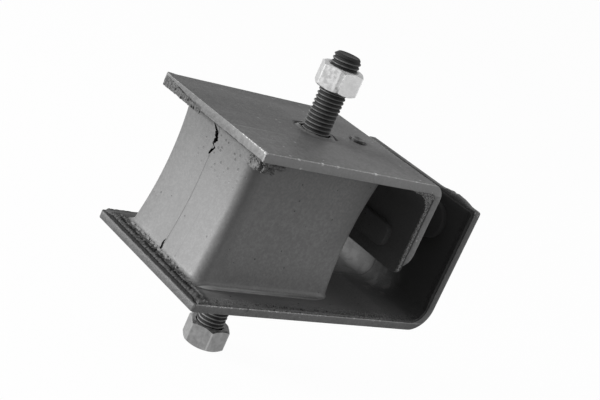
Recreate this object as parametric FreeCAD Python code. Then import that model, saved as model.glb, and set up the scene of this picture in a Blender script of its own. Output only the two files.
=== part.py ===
import FreeCAD, Part
import math
import os
from FreeCAD import Vector

# A bonded engine mount: a leaning rubber block between two folded steel brackets, with a
# stud and a hex nut on each bracket. Millimetres. The origin is where the lower stud's axis
# meets the lower bracket's seat face. X runs towards the folded flanges, Z up the studs.

# Where the two seats and the two studs stand
seat_distance = 67.6            # lower seat face to upper seat face
upper_stud_offset = 11.0        # how far the upper stud stands towards the flanges

# Lower bracket
lower_thickness = 3.5
lower_depth = 77.0
lower_free_reach = 46.5         # lower stud axis to the plate's free end
lower_flange_reach = 84.0       # lower stud axis to the flange's outer face
lower_flange_height = 59.5      # seat face to the flange's top edge
lower_fold_radius = 7.5         # inside of the fold
lower_plate_corner = 2.0
lower_flange_corner = 1.5

# Upper bracket
upper_thickness = 4.0
upper_side_step = 1.0           # how much narrower than the lower bracket, on each side
upper_free_reach = 53.7         # upper stud axis to the plate's free end
upper_flange_reach = 46.0       # upper stud axis to the flange's outer face
upper_flange_height = 42.3      # seat face to the flange's lower edge
upper_fold_radius = 2.5
upper_plate_corner = 1.5
upper_flange_corner = 10.0

# Locating pip pushed up out of the upper plate
pip_diameter = 6.6
pip_height = 1.4
pip_distance = 25.0             # upper stud axis to the pip
pip_shear = 0.2                 # the punch is this much smaller than the pip, on the radius

# Rubber block: section sizes at its two bonded ends and at its waist
block_base_length = 73.0
block_base_depth = 55.0
block_base_shift = -4.7         # lower stud axis to the middle of the section
block_waist_length = 67.4
block_waist_depth = 52.0
block_top_length = 71.0
block_top_depth = 54.5
block_top_shift = -12.4         # upper stud axis to the middle of the section
block_corner = 5.5
block_foot_radius = 2.5         # hollow rounding where the block meets the rubber skins
block_levels = 5                # outlines between the two feet, which give the waist its curve
foot_angles = (0, 25, 50, 90)   # degrees round the hollow, where a foot has its outlines

# Rubber skins bonded to the inner faces of both brackets
lower_skin = 2.0
lower_skin_fold = 6.0
lower_skin_margin = 0.8         # bare steel left along the plate's edges
upper_skin = 0.8
upper_flange_skin = 2.0
upper_skin_fold = 15.0
upper_skin_margin = 0.5
upper_skin_corner = 3.0

# Rubber stops moulded on the skins of the two flanges
inner_stop_length = 52.0
inner_stop_width = 10.5
inner_stop_height = 3.0
inner_stop_rise = 11.5          # flange's lower edge to the stop's middle
inner_stop_corner = 3.5
outer_stop_length = 56.0
outer_stop_width = 17.0
outer_stop_height = 3.0
outer_stop_level = 46.0         # lower seat face to the stop's middle
stop_edge = 0.8                 # bevel of both stops' rims

# Studs, nuts and their fits
stud_diameter = 12.0
stud_end_chamfer = 1.4
upper_stud_length = 34.8        # out of the upper seat face
lower_stud_length = 34.0
stud_neck = 12.6                # knurled neck, pressed into the plate
neck_recess = 1.2               # the neck stops this far under the seat face
stud_head = 20.0
stud_head_height = 5.0
stake_ring = 18.0               # ring pressed into the plate round the upper stud
stake_ring_depth = 0.4
stake_ring_width = 0.8
nut_across_flats = 17.0
nut_height = 10.0
nut_chamfer_angle = 30.0
nut_crown = 16.4                # circle left flat on a nut's end faces
nut_countersink = 0.7
thread_play = 0.1               # on the radius, between a nut's bore and its stud
upper_nut_gap = 19.4            # seat face to the upper nut
lower_nut_gap = 24.4
upper_nut_turn = 57.0           # degrees
lower_nut_turn = 64.7

# The open split at the top of the block's left face
split_width = 1.5
split_tip = 0.24                # width left at its lower end
split_depth = 5.0
split_drift = (3.0, -1.0, 0.2, -1.7, 0.3)       # how the split wanders across the face
split_fall = (2.0, 4.4, 9.3, 10.0, 13.7)        # below the upper plate

# Worked out from the above
upper_depth = lower_depth - 2 * upper_side_step
upper_underside = seat_distance - upper_thickness
upper_free_end = upper_stud_offset - upper_free_reach
upper_flange_face = upper_stud_offset + upper_flange_reach
upper_flange_edge = seat_distance - upper_flange_height
skin_top = lower_thickness + lower_skin
skin_ceiling = upper_underside - upper_skin
pip_x = upper_stud_offset + pip_distance
block_top_middle = upper_stud_offset + block_top_shift
overrun = 1.0                   # how far a cutting tool passes through the metal
bite = 0.5                      # how far a stop's root goes into its skin
hair = 0.01                     # lengths closer than this count as the same
up = Vector(0, 0, 1)


def polygon_face(points):
    """A flat face with straight sides."""
    return Part.Face(Part.makePolygon(points + points[:1]))


def arc(centre, radius, start, end):
    """A quarter arc in the XZ plane, given by its two end angles in degrees."""
    points = []
    for degrees in (start, (start + end) / 2, end):
        a = math.radians(degrees)
        points.append(centre + Vector(radius * math.cos(a), 0, radius * math.sin(a)))
    return Part.Arc(*points).toShape()


def folded_strip(free, reach, seat, fold, sizes, radii, height, depth):
    """A plate that turns through a right angle. fold is 1 for up and -1 for down."""
    plate, flange = sizes
    outer, inner = radii
    side = -depth / 2

    def at(x, rise):
        return Vector(x, side, seat + fold * rise)

    outer_arc = arc(at(reach - outer, outer), outer, -90 * fold, 0)
    inner_arc = arc(at(reach - flange - inner, plate + inner), inner, 0, -90 * fold)
    lines = [
        Part.makeLine(at(free, 0), at(reach - outer, 0)),
        outer_arc,
        Part.makeLine(at(reach, outer), at(reach, height)),
        Part.makeLine(at(reach, height), at(reach - flange, height)),
        Part.makeLine(at(reach - flange, height), at(reach - flange, plate + inner)),
        inner_arc,
        Part.makeLine(at(reach - flange - inner, plate), at(free, plate)),
        Part.makeLine(at(free, plate), at(free, 0)),
    ]
    return Part.Face(Part.Wire(lines)).extrude(Vector(0, depth, 0))


def same(a, b):
    return abs(a - b) < hair


def plate_corners(shape, x, radius):
    """Rounds the two corners at the plate's free end, seen from above."""
    end = [e for e in shape.Edges if same(e.BoundBox.XMin, x) and same(e.BoundBox.XMax, x)]
    return shape.makeFillet(radius, [e for e in end if same(e.BoundBox.YLength, 0)])


def flange_corners(shape, z, radius):
    """Rounds the two corners at the flange's end, seen along X."""
    end = [e for e in shape.Edges if same(e.BoundBox.ZMin, z) and same(e.BoundBox.ZMax, z)]
    return shape.makeFillet(radius, [e for e in end if same(e.BoundBox.YLength, 0)])


def rounded_slab(length, depth, corner, centre, height):
    """A flat bar with its four upright edges rounded."""
    base = Part.makePlane(length, depth, centre - Vector(length / 2, depth / 2, 0))
    slab = base.extrude(Vector(0, 0, height))
    return slab.makeFillet(corner, [e for e in slab.Edges if same(e.BoundBox.ZLength, height)])


def block_section(z, flare):
    """The block's outline at one level, widened by the flare of its foot."""
    share = (z - lower_thickness) / (upper_underside - lower_thickness)
    weights = ((1 - share) * (1 - 2 * share), 4 * share * (1 - share), share * (2 * share - 1))

    def curve(base, waist, top):
        return sum(w * size for w, size in zip(weights, (base, waist, top)))

    length = curve(block_base_length, block_waist_length, block_top_length) + 2 * flare
    depth = curve(block_base_depth, block_waist_depth, block_top_depth) + 2 * flare
    middle = block_base_shift + share * (block_top_middle - block_base_shift)
    slab = rounded_slab(length, depth, block_corner + flare, Vector(middle, 0, z), 1)
    return [f for f in slab.Faces if same(f.BoundBox.ZMax, z)][0].OuterWire


def stop(length, width, height, corner, skin_face, level):
    """A rounded bar of rubber that stands on a flange's skin and points towards the block."""
    bar = rounded_slab(width, length, corner, Vector(0, 0, -bite), height + bite)
    bar = bar.makeChamfer(stop_edge, [e for e in bar.Edges if same(e.BoundBox.ZMin, height)])
    bar.rotate(Vector(0, 0, 0), Vector(0, 1, 0), -90)
    bar.translate(Vector(skin_face, 0, level))
    return bar


def cylinder(radius, bottom, top, x):
    return Part.makeCylinder(radius, top - bottom, Vector(x, 0, bottom), up)


def lower_bracket():
    plate = folded_strip(
        -lower_free_reach, lower_flange_reach, 0, 1, (lower_thickness, lower_thickness),
        (lower_fold_radius + lower_thickness, lower_fold_radius), lower_flange_height, lower_depth,
    )
    plate = plate_corners(plate, -lower_free_reach, lower_plate_corner)
    plate = flange_corners(plate, lower_flange_height, lower_flange_corner)
    return plate.cut(cylinder(stud_neck / 2, -overrun, lower_thickness + overrun, 0))


def upper_bracket():
    plate = folded_strip(
        upper_free_end, upper_flange_face, seat_distance, -1, (upper_thickness, upper_thickness),
        (upper_fold_radius + upper_thickness, upper_fold_radius), upper_flange_height, upper_depth,
    )
    plate = plate_corners(plate, upper_free_end, upper_plate_corner)
    plate = flange_corners(plate, upper_flange_edge, upper_flange_corner)
    hole = cylinder(stud_neck / 2, upper_underside - overrun, seat_distance + overrun, upper_stud_offset)
    return plate.cut([hole, stake_groove()]).fuse(pip()).cut(pip_socket()).removeSplitter()


def stake_groove():
    """The shallow ring that the staking tool leaves round the upper stud."""
    floor = seat_distance - stake_ring_depth
    outer = cylinder(stake_ring / 2, floor, seat_distance + overrun, upper_stud_offset)
    inner = cylinder(stake_ring / 2 - stake_ring_width, floor, seat_distance + overrun, upper_stud_offset)
    return outer.cut(inner)


def pip():
    """Metal pushed half through the plate, as a round button with a bevelled rim."""
    top = seat_distance + pip_height
    button = cylinder(pip_diameter / 2, seat_distance - bite, top, pip_x)
    return button.makeChamfer(pip_height / 3, [e for e in button.Edges if same(e.BoundBox.ZMin, top)])


def pip_socket():
    """What the punch leaves on the underside: the rubber fills it."""
    return cylinder(pip_diameter / 2 - pip_shear, skin_ceiling, upper_underside + pip_height, pip_x)


def block():
    """The waisted block, which leans because its two ends are bonded at different places."""
    radius = block_foot_radius
    steps = [(1 - math.cos(math.radians(a)), 1 - math.sin(math.radians(a))) for a in foot_angles]
    low = skin_top + radius
    high = skin_ceiling - radius
    levels = [(lower_thickness, radius)]
    levels += [(skin_top + radius * rise, radius * out) for rise, out in steps]
    levels += [(low + (high - low) * n / (block_levels + 1), 0) for n in range(1, block_levels + 1)]
    levels += [(skin_ceiling - radius * rise, radius * out) for rise, out in reversed(steps)]
    levels += [(upper_underside, radius)]
    return Part.makeLoft([block_section(z, flare) for z, flare in levels], True, True)


def lower_skin_sheet():
    sheet = folded_strip(
        -lower_free_reach + lower_skin_margin, lower_flange_reach - lower_thickness, lower_thickness, 1,
        (lower_skin, lower_skin), (lower_fold_radius, lower_skin_fold),
        lower_flange_height - lower_thickness - lower_skin_margin, lower_depth - 2 * lower_skin_margin,
    )
    sheet = plate_corners(sheet, -lower_free_reach + lower_skin_margin, lower_plate_corner)
    return flange_corners(sheet, lower_flange_height - lower_skin_margin, lower_flange_corner)


def upper_skin_sheet():
    sheet = folded_strip(
        upper_free_end + upper_skin_margin, upper_flange_face - upper_thickness, upper_underside, -1,
        (upper_skin, upper_flange_skin), (upper_fold_radius, upper_skin_fold),
        upper_flange_height - upper_thickness, upper_depth - 2 * upper_skin_margin,
    )
    sheet = plate_corners(sheet, upper_free_end + upper_skin_margin, upper_plate_corner)
    return flange_corners(sheet, upper_flange_edge, upper_skin_corner)


def split():
    """The open split in the block's left face: a jagged slot, widest at its top."""
    face_x = block_top_middle - block_top_length / 2
    outside = face_x - split_depth
    last = len(split_drift) - 1
    one_side = []
    other_side = []
    for index, (y, fall) in enumerate(zip(split_drift, split_fall)):
        half = (split_width + (split_tip - split_width) * index / last) / 2
        one_side.append(Vector(outside, y - half, upper_underside - fall))
        other_side.append(Vector(outside, y + half, upper_underside - fall))
    outline = polygon_face(one_side + other_side[::-1])
    return outline.extrude(Vector(face_x + split_depth - outside, 0, 0))


def stops():
    """The inner stop on the upper flange and the outer stop on the lower flange."""
    inner = stop(
        inner_stop_length, inner_stop_width, inner_stop_height, inner_stop_corner,
        upper_flange_face - upper_thickness - upper_flange_skin, upper_flange_edge + inner_stop_rise,
    )
    outer = stop(
        outer_stop_length, outer_stop_width, outer_stop_height, outer_stop_width / 2 - hair,
        lower_flange_reach - lower_thickness - lower_skin, outer_stop_level,
    )
    return [inner, outer]


def rubber_block():
    """Block, skins and stops, moulded in one piece round the brackets and the stud heads."""
    body = block().fuse([lower_skin_sheet(), upper_skin_sheet(), pip_socket()] + stops()).removeSplitter()
    return body.cut([upper_stud(), lower_stud(), split()])


def headed_stud(length, plate):
    """A stud along +Z from its seat face, its neck pressed in the plate and its head under it."""
    radius = stud_diameter / 2
    tip = length - stud_end_chamfer
    pieces = [
        Part.makeCone(radius, radius - stud_end_chamfer, stud_end_chamfer, Vector(0, 0, tip)),
        cylinder(stud_neck / 2, -plate, -neck_recess, 0),
        cylinder(stud_head / 2, -plate - stud_head_height, -plate, 0),
    ]
    return cylinder(radius, -neck_recess, tip, 0).fuse(pieces).removeSplitter()


def upper_stud():
    piece = headed_stud(upper_stud_length, upper_thickness)
    piece.translate(Vector(upper_stud_offset, 0, seat_distance))
    return piece


def lower_stud():
    piece = headed_stud(lower_stud_length, lower_thickness)
    piece.rotate(Vector(0, 0, 0), Vector(1, 0, 0), 180)
    return piece


def hex_nut():
    """A plain hex nut from Z 0 upwards, chamfered and countersunk at both ends."""
    points = []
    for corner in range(6):
        a = math.radians(60 * corner)
        points.append(Vector(math.cos(a), math.sin(a), 0) * (nut_across_flats / math.sqrt(3)))
    half = nut_height / 2
    crown = nut_crown / 2
    widest = crown + half / math.tan(math.radians(nut_chamfer_angle))
    bore = stud_diameter / 2 + thread_play
    sink = bore + nut_countersink
    cones = Part.makeCone(crown, widest, half).fuse(Part.makeCone(widest, crown, half, Vector(0, 0, half)))
    body = polygon_face(points).extrude(Vector(0, 0, nut_height)).common(cones)
    return body.cut([
        cylinder(bore, -overrun, nut_height + overrun, 0),
        Part.makeCone(sink, bore, nut_countersink),
        Part.makeCone(bore, sink, nut_countersink, Vector(0, 0, nut_height - nut_countersink)),
    ])


def upper_nut():
    nut = hex_nut()
    nut.rotate(Vector(0, 0, 0), up, upper_nut_turn)
    nut.translate(Vector(upper_stud_offset, 0, seat_distance + upper_nut_gap))
    return nut


def lower_nut():
    nut = hex_nut()
    nut.rotate(Vector(0, 0, 0), up, lower_nut_turn)
    nut.translate(Vector(0, 0, -lower_nut_gap - nut_height))
    return nut


makers = {
    "lower_bracket": lower_bracket,
    "upper_bracket": upper_bracket,
    "rubber_block": rubber_block,
    "lower_stud": lower_stud,
    "upper_stud": upper_stud,
    "lower_nut": lower_nut,
    "upper_nut": upper_nut,
}

os.makedirs("parts", exist_ok=True)
for name, make in makers.items():
    shape = make()
    shape.exportStep(f"parts/{name}.step")
    print(name, len(shape.Solids), "solid", round(shape.Volume / 1000, 2), "cm3, valid:", shape.isValid())
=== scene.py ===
import math

import bmesh
import bpy
from mathutils import Matrix, Vector, noise


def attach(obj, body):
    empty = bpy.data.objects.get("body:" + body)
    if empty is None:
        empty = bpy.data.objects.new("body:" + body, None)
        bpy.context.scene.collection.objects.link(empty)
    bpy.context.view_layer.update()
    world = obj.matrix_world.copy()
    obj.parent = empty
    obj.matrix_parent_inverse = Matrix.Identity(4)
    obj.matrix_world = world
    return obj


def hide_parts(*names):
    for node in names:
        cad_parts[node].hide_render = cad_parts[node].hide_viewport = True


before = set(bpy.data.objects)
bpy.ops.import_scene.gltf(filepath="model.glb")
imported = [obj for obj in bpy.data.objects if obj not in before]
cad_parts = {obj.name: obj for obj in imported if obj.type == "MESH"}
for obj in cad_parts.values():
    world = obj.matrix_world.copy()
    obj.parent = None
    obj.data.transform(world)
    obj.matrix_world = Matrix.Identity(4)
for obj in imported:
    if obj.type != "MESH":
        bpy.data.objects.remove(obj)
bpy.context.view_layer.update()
mm = 0.001
origin = (0, 0, 0)
print("frame loaded")


# every length in the mesh code is in millimetres and becomes metres in finishPiece

def meshFrom(name, bm):
    mesh = bpy.data.meshes.new(name)
    bm.to_mesh(mesh)
    bm.free()
    return mesh


def addObject(name, data):
    made = bpy.data.objects.new(name, data)
    bpy.context.scene.collection.objects.link(made)
    return made


def finishPiece(name, bm, material, nodes, sharpAngle=32):
    bmesh.ops.remove_doubles(bm, verts=bm.verts[:], dist=0.0005)
    bmesh.ops.recalc_face_normals(bm, faces=bm.faces[:])
    bmesh.ops.scale(bm, vec=(mm, mm, mm), verts=bm.verts[:])
    mesh = meshFrom(name, bm)
    mesh.shade_smooth()
    mesh.set_sharp_from_angle(angle=math.radians(sharpAngle))
    mesh.materials.append(material)
    piece = addObject(name, mesh)
    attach(piece, "root")
    if nodes:
        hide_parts(*nodes)
    print("made", name, len(mesh.polygons), "faces")


def addShell(whole, bm):
    mesh = meshFrom("shell", bm)
    whole.from_mesh(mesh)
    bpy.data.meshes.remove(mesh)


def shift(bm, move):
    bmesh.ops.translate(bm, vec=move, verts=bm.verts[:])


def turnAll(bm, degrees, axis):
    bmesh.ops.rotate(bm, cent=origin, matrix=Matrix.Rotation(math.radians(degrees), 3, axis),
                     verts=bm.verts[:])


def grid(width, depth, xCount=1, yCount=1):
    bm = bmesh.new()
    bmesh.ops.create_grid(bm, x_segments=xCount, y_segments=yCount, size=0.5)
    bmesh.ops.scale(bm, vec=(width, depth, 1), verts=bm.verts[:])
    return bm


def thicken(bm, move=(0, 0, 0)):  # draws a sheet out into a closed body, returns the new side's vertices
    grown = bmesh.ops.extrude_face_region(bm, geom=bm.faces[:])
    made = [v for v in grown["geom"] if isinstance(v, bmesh.types.BMVert)]
    bmesh.ops.translate(bm, vec=move, verts=made)
    return made


def lathe(bm, outline, steps):  # a full turn of an outline of (radius, height), in the bm that is given
    ring = [bm.verts.new((r, 0, z)) for r, z in outline]
    edges = [bm.edges.new(pair) for pair in zip(ring, ring[1:])]
    bmesh.ops.spin(bm, geom=ring + edges, cent=origin, axis=(0, 0, 1), angle=math.radians(360), steps=steps,
                   use_merge=True)


def cutAt(bm, axis, places):  # knife cuts straight through, so later moves have vertices to work on
    normal = Vector([1.0 if i == axis else 0.0 for i in range(3)])
    for place in places:
        everything = bm.verts[:] + bm.edges[:] + bm.faces[:]
        bmesh.ops.bisect_plane(bm, geom=everything, plane_co=normal * place, plane_no=normal, dist=1e-5)


def stations(start, end, step):
    count = max(1, round((end - start) / step))
    return [start + (end - start) * i / count for i in range(count + 1)]


def roundedSlab(length, depth, thickness, corners, rims):
    # corners: radii of front left, back left, front right and back right; rims: bevels of bottom and top
    bm = grid(length, depth)
    places = [Vector((x * length / 2, y * depth / 2, 0)) for x in (-1, 1) for y in (-1, 1)]
    for place, radius in zip(places, corners):
        near = [v for v in bm.verts if (v.co - place).length < 1e-4]
        bmesh.ops.bevel(bm, geom=near, offset=radius, affect="VERTICES", segments=7, profile=0.5,
                        material=-1)
    thicken(bm, (0, 0, thickness))
    bmesh.ops.recalc_face_normals(bm, faces=bm.faces[:])
    for level, width in zip((0, thickness), rims):
        if width:
            rim = [e for e in bm.edges if all(abs(v.co.z - level) < 1e-5 for v in e.verts)]
            bmesh.ops.bevel(bm, geom=rim, offset=width, affect="EDGES", segments=2, profile=0.5, material=-1)
    return bm


def ramp(value, low, high):  # 0 below low, 1 above high, smooth between
    share = min(1.0, max(0.0, (value - low) / (high - low)))
    return share * share * (3 - 2 * share)


def rough(point, scale, seed=0.0):  # signed noise, about -1 to 1
    return noise.noise(Vector(point) * scale + Vector((seed, seed * 0.7, seed * 1.3)))


def foldPlace(spec):  # where the fold starts on the flat pattern, and how long it is there
    start = spec["reach"] - spec["outerRadius"] - spec["free"]
    return start, math.pi / 2 * (spec["outerRadius"] + spec["innerRadius"]) / 2


def patternLength(spec):
    start, bend = foldPlace(spec)
    return start + bend + spec["height"] - spec["outerRadius"]


def foldStations(spec, count):
    start, bend = foldPlace(spec)
    return stations(start, start + bend, bend / count)


def flatPattern(spec):  # a bracket or a skin before it is folded, with its free end at x = 0
    length = patternLength(spec)
    bm = roundedSlab(length, spec["depth"], spec["plate"], spec["corners"], spec["rims"])
    shift(bm, (length / 2, 0, 0))
    return bm, length, spec["depth"] / 2


def foldSheet(bm, spec):
    # bends a flat pattern: x runs from the free end round the fold, z from the outer face inwards
    outer, inner = spec["outerRadius"], spec["innerRadius"]
    plate, flange = spec["plate"], spec["flange"]
    straight, bend = foldPlace(spec)

    def facePoint(s, reach, level, radius):  # on one face of the folded sheet, s along the flat pattern
        before = reach - radius - spec["free"]
        if s <= straight:
            return Vector((spec["free"] + s * before / straight, level))
        if s <= straight + bend:
            a = (s - straight) / bend * math.pi / 2
            return Vector((reach - radius + radius * math.sin(a), level + radius - radius * math.cos(a)))
        rest = (s - straight - bend) / (spec["height"] - outer)
        return Vector((reach, level + radius + rest * (spec["height"] - level - radius)))

    for v in bm.verts:
        s, y, share = v.co.x, v.co.y, v.co.z / plate
        innerPlace = facePoint(s, spec["reach"] - flange, plate, inner)
        place = facePoint(s, spec["reach"], 0, outer).lerp(innerPlace, share)
        v.co = Vector((place.x, y, spec["seat"] + spec["fold"] * place.y))


def addNode(tree, kind, settings=None, inputs=None):
    made = tree.nodes.new(kind)
    for key, value in (settings or {}).items():
        setattr(made, key, value)
    for key, value in (inputs or {}).items():
        socket = made.inputs[key]
        if isinstance(value, bpy.types.NodeSocket):
            tree.links.new(value, socket)
        else:
            socket.default_value = value
    return made


def math2(tree, operation, a, b=0.0, clamp=False):
    return addNode(tree, "ShaderNodeMath", {"operation": operation, "use_clamp": clamp},
                   {0: a, 1: b}).outputs[0]


def times(tree, a, b):
    return math2(tree, "MULTIPLY", a, b)


def largest(tree, *values):
    result = values[0]
    for value in values[1:]:
        result = math2(tree, "MAXIMUM", result, value)
    return result


def vectorMath(tree, operation, a, b):
    return addNode(tree, "ShaderNodeVectorMath", {"operation": operation}, {0: a, 1: b}).outputs[0]


def remap(tree, value, low, high, outLow=0.0, outHigh=1.0):
    settings = {"interpolation_type": "SMOOTHSTEP", "clamp": True}
    inputs = {"Value": value, "From Min": low, "From Max": high, "To Min": outLow, "To Max": outHigh}
    return addNode(tree, "ShaderNodeMapRange", settings, inputs).outputs["Result"]


def opposite(tree, mask):
    return remap(tree, mask, 1.0, 0.0)


def blendColor(tree, share, a, b):
    return addNode(tree, "ShaderNodeMix", {"data_type": "RGBA"}, {0: share, 6: a, 7: b}).outputs[2]


def grey(value):
    return (value, value, value, 1.0)


def tint(tree, mask, amount, color, level):
    return blendColor(tree, times(tree, mask, amount), color, grey(level))


def noiseNode(tree, vector, scale, detail):
    return addNode(tree, "ShaderNodeTexNoise", None,
                   {"Vector": vector, "Scale": scale, "Detail": detail}).outputs


def bandNoise(tree, vector, scale, detail, low, high):  # noise spread out between its own low and high value
    return remap(tree, noiseNode(tree, vector, scale, detail)["Fac"], low, high)


def wobbled(tree, vector, scale, amount, detail=3.0):  # coordinates pushed about by noise
    centred = vectorMath(tree, "SUBTRACT", noiseNode(tree, vector, scale, detail)["Color"], (0.5, 0.5, 0.5))
    pushed = addNode(tree, "ShaderNodeVectorMath", {"operation": "SCALE"}, {0: centred, "Scale": amount})
    return vectorMath(tree, "ADD", vector, pushed.outputs[0])


def mapped(tree, vector, degrees=(0, 0, 0), scale=(1, 1, 1)):
    turn = [math.radians(a) for a in degrees]
    return addNode(tree, "ShaderNodeMapping", None,
                   {"Vector": vector, "Rotation": turn, "Scale": scale}).outputs[0]


def distanceTo(tree, vector, point, across):  # distance from a point, on the axes where across is 1
    flat = vectorMath(tree, "MULTIPLY", vectorMath(tree, "SUBTRACT", vector, point), across)
    return addNode(tree, "ShaderNodeVectorMath", {"operation": "LENGTH"}, {0: flat}).outputs["Value"]


def newGroup(name, numbers, vectors, results):
    group = bpy.data.node_groups.new(name, "ShaderNodeTree")
    for socketName, value in vectors.items():
        socket = group.interface.new_socket(name=socketName, in_out="INPUT", socket_type="NodeSocketVector")
        socket.default_value = value
    for socketName, value in numbers.items():
        socket = group.interface.new_socket(name=socketName, in_out="INPUT", socket_type="NodeSocketFloat")
        socket.default_value = value
    for socketName in results:
        group.interface.new_socket(name=socketName, in_out="OUTPUT", socket_type="NodeSocketFloat")
    return group, group.nodes.new("NodeGroupInput").outputs, group.nodes.new("NodeGroupOutput").inputs


def placeGroup(tree, group, inputs):
    return addNode(tree, "ShaderNodeGroup", {"node_tree": group}, inputs).outputs


def makeSpecksGroup():  # sparse dots, one in some of the cells: dust, chips or pits
    group, given, result = newGroup(
        "sparseSpecks", {"Per Metre": 400.0, "Share": 0.1, "Size": 0.12}, {"Vector": origin}, ["Mask"])
    cells = addNode(group, "ShaderNodeTexVoronoi", None,
                    {"Vector": given["Vector"], "Scale": given["Per Metre"]})
    pick = addNode(group, "ShaderNodeSeparateColor", None, {"Color": cells.outputs["Color"]}).outputs[0]
    chosen = math2(group, "LESS_THAN", pick, given["Share"])
    size = times(group, given["Size"], remap(group, pick, 0.0, given["Share"], 0.5, 1.2))
    inside = remap(group, math2(group, "DIVIDE", cells.outputs["Distance"], size), 0.6, 1.0, 1.0, 0.0)
    group.links.new(times(group, inside, chosen), result["Mask"])
    return group


def makeLineGroup():  # a soft line through Point; Across is 1 on the axes that the distance is measured on
    group, given, result = newGroup(
        "softLine", {"Width": 0.0005, "Wander": 0.0, "Wander Scale": 200.0},
        {"Vector": origin, "Point": origin, "Across": origin}, ["Mask"])
    moved = wobbled(group, given["Vector"], given["Wander Scale"], given["Wander"], 2.0)
    share = math2(group, "DIVIDE", distanceTo(group, moved, given["Point"], given["Across"]), given["Width"])
    group.links.new(remap(group, share, 0.4, 1.0, 1.0, 0.0), result["Mask"])
    return group


def makeSkinGroup():  # the fine grain and broad cloudiness of a sprayed or moulded surface
    group, given, result = newGroup(
        "surfaceSkin", {"Grain": 2600.0, "Cloud": 90.0}, {"Vector": origin, "Streak": (1, 1, 1)},
        ["Height", "Cloud"])
    stretched = vectorMath(group, "MULTIPLY", given["Vector"], given["Streak"])
    group.links.new(noiseNode(group, given["Vector"], given["Grain"], 3.0)["Fac"], result["Height"])
    group.links.new(noiseNode(group, stretched, given["Cloud"], 4.0)["Fac"], result["Cloud"])
    return group


def makeBoxGroup():  # 1 inside a box with soft sides, 0 outside
    group, given, result = newGroup(
        "softBox", {"Soft": 0.001}, {"Vector": origin, "Low": origin, "High": origin}, ["Mask"])
    inside = None
    for first, second in (("Vector", "Low"), ("High", "Vector")):
        gap = vectorMath(group, "SUBTRACT", given[first], given[second])
        for value in addNode(group, "ShaderNodeSeparateXYZ", None, {0: gap}).outputs:
            inside = value if inside is None else math2(group, "MINIMUM", inside, value)
    group.links.new(remap(group, math2(group, "DIVIDE", inside, given["Soft"]), -1.0, 1.0), result["Mask"])
    return group


def makeScratchGroup():  # a few long thin scratches, all running roughly one way
    group, given, result = newGroup("longScratches", {"Amount": 0.1}, {"Vector": origin}, ["Mask"])
    stretched = mapped(group, given["Vector"], (0, 0, 38), (22.0, 1500.0, 60.0))
    thin = noiseNode(group, stretched, 1.0, 1.0)["Fac"]
    over = math2(group, "SUBTRACT", thin, math2(group, "SUBTRACT", 0.78, given["Amount"]))
    group.links.new(math2(group, "MULTIPLY", over, 9.0, clamp=True), result["Mask"])
    return group


sparseSpecks = makeSpecksGroup()
softLine = makeLineGroup()
surfaceSkin = makeSkinGroup()
softBox = makeBoxGroup()
longScratches = makeScratchGroup()


def specks(tree, coords, perMetre, share, size):
    inputs = {"Vector": coords, "Per Metre": perMetre, "Share": share, "Size": size}
    return placeGroup(tree, sparseSpecks, inputs)["Mask"]


def skinOf(tree, coords, grain, cloud, streak=(1, 1, 1)):
    inputs = {"Vector": coords, "Grain": grain, "Cloud": cloud, "Streak": streak}
    return placeGroup(tree, surfaceSkin, inputs)


def boxMask(tree, vector, low, high, soft):  # low, high and soft in millimetres
    inputs = {"Vector": vector, "Low": Vector(low) * mm, "High": Vector(high) * mm, "Soft": soft * mm}
    return placeGroup(tree, softBox, inputs)["Mask"]


def lineMask(tree, coords, point, across, width, wander=0.0, wanderScale=200.0):  # lengths in millimetres
    return placeGroup(tree, softLine, {
        "Vector": coords, "Point": Vector(point) * mm, "Across": across, "Width": width * mm,
        "Wander": wander * mm, "Wander Scale": wanderScale})["Mask"]


def axisDistance(tree, coords, axisX):  # how far a point lies from an upright axis in the XZ plane
    return distanceTo(tree, coords, (axisX * mm, 0, 0), (1, 1, 0))


def addLayers(tree, coords, color, layers, textures):
    # a layer is (name, box, border, texture, amount, grey): it tints a soft box, or without one an earlier
    # mask; border is the scale and reach of the noise that frays it, texture a mask to multiply it by
    masks, borders = dict(textures), {None: coords}
    for name, box, border, texture, amount, level in layers:
        if border not in borders:
            borders[border] = wobbled(tree, coords, *border)
        if box:
            masks[name] = boxMask(tree, borders[border], *box)
        mask = times(tree, masks[name], masks[texture]) if texture else masks[name]
        color = tint(tree, mask, amount, color, level)
    return color, masks


def newMaterial(name, metallic=0.0, specular=0.5):
    material = bpy.data.materials.new(name)
    material.use_nodes = True
    tree = material.node_tree
    shader = tree.nodes["Principled BSDF"]
    shader.inputs["Metallic"].default_value = metallic
    shader.inputs["Specular IOR Level"].default_value = specular
    shader.inputs["IOR"].default_value = 1.5
    coords = addNode(tree, "ShaderNodeTexCoord").outputs["Object"]
    return material, tree, shader, coords


def finishShader(tree, shader, color, roughness, height, strength, distance):  # distance in millimetres
    inputs = {"Strength": strength, "Distance": distance * mm, "Height": height}
    bump = addNode(tree, "ShaderNodeBump", None, inputs).outputs["Normal"]
    for socketName, value in (("Base Color", color), ("Roughness", roughness), ("Normal", bump)):
        tree.links.new(value, shader.inputs[socketName])


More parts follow.
